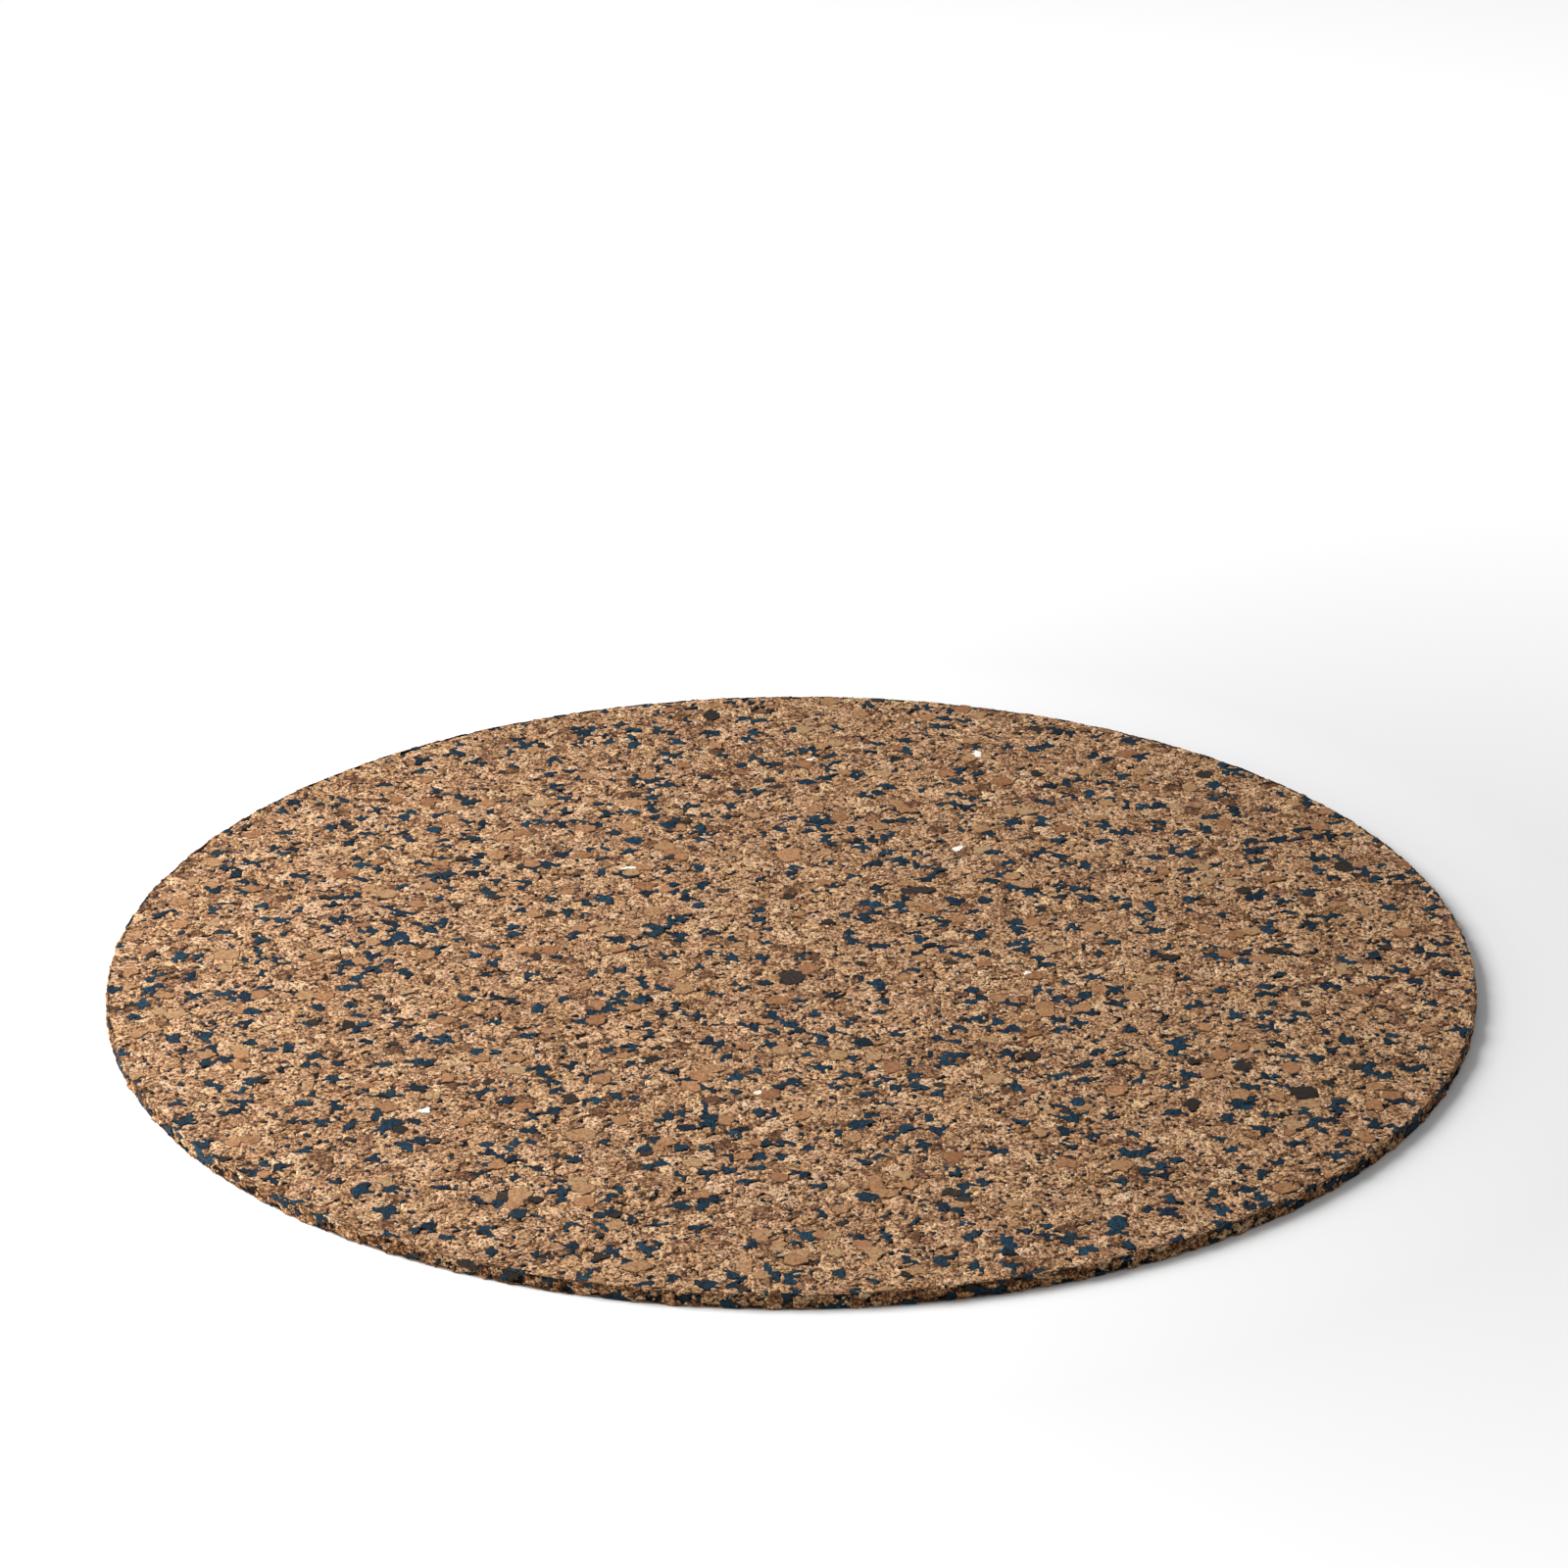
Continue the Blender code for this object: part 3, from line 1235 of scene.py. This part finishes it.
@dataclass
class Board:
    """The whole board: a core of binder and crumb, two faces and a rim.

    Attributes:
        face_cell: The width of the cells on the pin-up face.
        back_cell: The width of the cells on the back, which is never looked at closely.
        rim_cell: The width of the cells on the rim.
        seam_depth: How deep the crevices between granules are.
        rim_depth: How deep they are at the rim, which the die tore.
        arris_gap: How far the rim's granules end inside either face.
        core_gap: The least space between the core and the granules round it.
        core_arris: The rounding of the core's edges.
    """

    face_cell: float = 0.88 * MM
    back_cell: float = 1.7 * MM
    rim_cell: float = 0.62 * MM
    seam_depth: float = 0.55 * MM
    rim_depth: float = 0.6 * MM
    arris_gap: float = 0.12 * MM
    core_gap: float = 0.01 * MM
    core_arris: float = 0.2 * MM

    def __post_init__(self) -> None:
        """Reads the board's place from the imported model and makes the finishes."""
        self.low, self.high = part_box(SHEET_NODE)
        self.radius = (self.high.x - self.low.x) / 2
        self.materials = {kind: finish.make() for kind, finish in FINISHES.items()}
        self.chips = {name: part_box(name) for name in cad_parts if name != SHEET_NODE}

    def build(self) -> list[bpy.types.Object]:
        """Builds every piece.

        Returns:
            The pieces.
        """
        pieces = [self.core()]
        for part in (self.face(), self.rim(), self.back()):
            for name, (kind, node, bm) in part.grow().items():
                piece = make_piece(name, bm, self.materials[kind])
                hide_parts(node or SHEET_NODE)
                pieces.append(piece)
        return pieces

    def core(self) -> bpy.types.Object:
        """The inside of the sheet, which closes it under the granules.

        Returns:
            The core, a plain disc that only shows at the bottom of the crevices; having no "lift", it is
            painted all over in the die-torn finish's crevice shade.
        """
        bm = bmesh.new()
        inset = self.rim_depth + 5 * self.core_gap
        thickness = self.high.z - self.low.z - 2 * (self.seam_depth + self.core_gap)
        middle = (self.high.z + self.low.z) / 2
        bmesh.ops.create_cone(
            bm,
            cap_ends=True,
            segments=180,
            radius1=self.radius - inset,
            radius2=self.radius - inset,
            depth=thickness,
            matrix=Matrix.Translation((0, 0, middle)),
        )
        arrises = [e for e in bm.edges if abs(e.verts[0].co.z - e.verts[1].co.z) < WELD]
        bmesh.ops.bevel(
            bm,
            geom=arrises,
            offset=self.core_arris,
            segments=2,
            profile=0.5,
            affect="EDGES",
            material=-1,
        )
        # No "lift" attribute: the finish paints the whole core in its near-black seam colour, painted shade
        # for the bottom of the crevices
        core = make_piece("bonded_core", bm, self.materials[Kind.TORN])
        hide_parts(SHEET_NODE)
        return core

    def face(self) -> FaceField:
        """The pin-up face, with room for the model's large granules."""
        return FaceField(
            "face", self.face_cell, self.seam_depth, 11,
            radius=self.radius, level=self.high.z, chips=self.chips,
        )

    def back(self) -> FaceField:
        """The back face, which the board lies on."""
        return FaceField(
            "back", self.back_cell, self.seam_depth, 23, grading=1.15,
            radius=self.radius, level=self.low.z, looks_up=False,
        )

    def rim(self) -> RimField:
        """The raw cut rim, whose granules the press has flattened."""
        return RimField(
            "rim", self.rim_cell, self.rim_depth, 37, grading=0.62, flattening=2.0,
            radius=self.radius, low=self.low.z + self.arris_gap, high=self.high.z - self.arris_gap,
        )


# ---------------------------------------------------------------------------- the studio


@dataclass(frozen=True)
class Softbox:
    """A square lamp that faces the middle of the board.

    Attributes:
        name: Its name.
        place: Where it stands.
        side: How wide and high it is.
        power: Its power in watts.
    """

    name: str
    place: tuple[float, float, float]
    side: float
    power: float

    def make(self) -> None:
        """Puts the lamp in the scene."""
        light = bpy.data.lights.new(self.name, "AREA")
        light.shape = "SQUARE"
        light.size = self.side
        light.energy = self.power
        lamp = bpy.data.objects.new(self.name, light)
        lamp.location = self.place
        lamp.rotation_euler = (-Vector(self.place)).to_track_quat("-Z", "Y").to_euler()
        bpy.context.scene.collection.objects.link(lamp)


@dataclass
class Studio:
    """A plain pale floor, soft light from the left and a long lens.

    Attributes:
        radius: The board's radius, which the camera's distance follows.
        level: The height of the floor.
        lights: The lamps.
        overhead: How strong the light from the diffuser overhead is.
        diffuser_angle: How wide that diffuser looks from the board, in degrees.
        sky: How bright the even light from all round is.
        backdrop: How bright the wall behind the table looks.
        elevation: How far the camera looks down on the board, in degrees.
        distance_in_radii: How far off the camera is, in radii of the board.
        aim: How far above and beside the board's middle it is aimed, in degrees.
        roll: How far the camera is turned about its own axis, in degrees.
        lens: Its focal length in mm.
        floor_size: Half the width of the floor.
        sweep: Where the table starts to turn into the glowing white sweep and where it ends, in radii.
        painted_sweep_glow: How strongly the sweep glows: painted light that keeps it white where the lamps
            fall off.
    """

    radius: float
    level: float
    lights: tuple[Softbox, ...] = (
        Softbox("window_left", (-0.50, 0.03, 0.52), 0.46, 7.7),
        Softbox("reflector_low_left", (-0.62, -0.15, 0.16), 0.22, 2.3),
    )
    overhead: float = 0.85
    sky: float = 0.10
    backdrop: float = 0.85
    elevation: float = 25.77
    distance_in_radii: float = 7.0
    aim: tuple[float, float] = (2.246, 0.071)
    roll: float = -0.308
    lens: float = 109.04
    diffuser_angle: float = 120.0
    floor_size: float = 6.0
    sweep: tuple[float, float] = (1.25, 3.5)
    painted_sweep_glow: float = 0.4

    def build(self) -> None:
        """Makes the floor, the lights, the sky and the camera."""
        self.make_floor()
        for light in self.lights:
            light.make()
        dome = bpy.data.lights.new("overhead_diffuser", "SUN")
        dome.energy = self.overhead
        dome.angle = math.radians(self.diffuser_angle)
        bpy.context.scene.collection.objects.link(bpy.data.objects.new(dome.name, dome))
        world = bpy.data.worlds.new("studio_sky")
        world.use_nodes = True
        tree = world.node_tree
        background = tree.nodes["Background"]
        background.inputs["Color"].default_value = (1, 1, 1, 1)
        seen = add_node(tree, "LightPath").outputs["Is Camera Ray"]
        strength = add_node(tree, "MapRange", inputs={0: seen, 3: self.sky, 4: self.backdrop})
        tree.links.new(strength.outputs[0], background.inputs["Strength"])
        bpy.context.scene.world = world
        self.make_camera()
        bpy.context.scene.view_settings.view_transform = "Standard"

    def make_floor(self) -> None:
        """A large plain table that runs into a white sweep away from the board, painted lighter and glowing
        there: painted light.
        """
        bm = bmesh.new()
        bmesh.ops.create_grid(
            bm,
            x_segments=1,
            y_segments=1,
            size=self.floor_size,
            matrix=Matrix.Translation((0, 0, self.level)),
        )
        mesh = bpy.data.meshes.new("floor")
        bm.to_mesh(mesh)
        bm.free()
        material = bpy.data.materials.new("white_lacquer_table_with_painted_glow")
        material.use_nodes = True
        tree = material.node_tree
        shader = tree.nodes["Principled BSDF"]
        place = add_node(tree, "TexCoord").outputs["Object"]
        away = add_node(tree, "VectorMath", {"operation": "LENGTH"}, {0: place}).outputs["Value"]
        starts, ends = (radii * self.radius for radii in self.sweep)
        # Painted light: away from the board the table turns whiter and glows, so it stays white where the
        # lamps fall off
        sweep = {0: away, 1: starts, 2: ends}
        share = add_node(tree, "MapRange", {"clamp": True}, {**sweep, 3: 0.0, 4: 1.0}).outputs[0]
        painted_glow = add_node(tree, "MapRange", {"clamp": True}, {**sweep, 3: 0.0, 4: self.painted_sweep_glow}).outputs[0]
        colour = add_node(
            tree, "Mix", {"data_type": "RGBA"}, {0: share, 6: linear("E6E6E6"), 7: linear("FFFFFF")}
        )
        tree.links.new(colour.outputs[2], shader.inputs["Base Color"])
        tree.links.new(painted_glow, shader.inputs["Emission Strength"])
        shader.inputs["Emission Color"].default_value = (1, 1, 1, 1)
        shader.inputs["Roughness"].default_value = 0.9
        shader.inputs["Specular IOR Level"].default_value = 0.1
        mesh.materials.append(material)
        floor = bpy.data.objects.new("floor", mesh)
        bpy.context.scene.collection.objects.link(floor)

    def make_camera(self) -> None:
        """A camera that looks down on the board from the front, aimed a little past it."""
        camera = bpy.data.cameras.new("camera")
        camera.lens = self.lens
        camera.sensor_width = 36.0
        camera.clip_start, camera.clip_end = 0.01, 50.0
        holder = bpy.data.objects.new("camera", camera)
        rise = math.radians(self.elevation)
        away = Vector((0, -math.cos(rise), math.sin(rise))) * self.distance_in_radii * self.radius
        above, beside = (math.radians(angle) for angle in self.aim)
        pitch = Matrix.Rotation(math.pi / 2 - rise + above, 4, "X")
        yaw = Matrix.Rotation(beside, 4, "Y")
        roll = Matrix.Rotation(math.radians(self.roll), 4, "Z")
        holder.matrix_world = Matrix.Translation(away) @ pitch @ yaw @ roll
        bpy.context.scene.collection.objects.link(holder)
        bpy.context.scene.camera = holder


def main() -> None:
    """Builds the board and its studio, and reports each piece."""
    logging.basicConfig(level=logging.INFO, format="%(message)s")
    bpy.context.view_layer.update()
    board = Board()
    Studio(board.radius, board.low.z).build()
    total = 0
    for piece in board.build():
        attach(piece, BODY)
        triangles = len(piece.data.polygons)
        total += triangles
        LOG.info("%s: %d faces", piece.name, triangles)
    LOG.info("all pieces: %d faces", total)


if __name__ == "__main__":
    main()
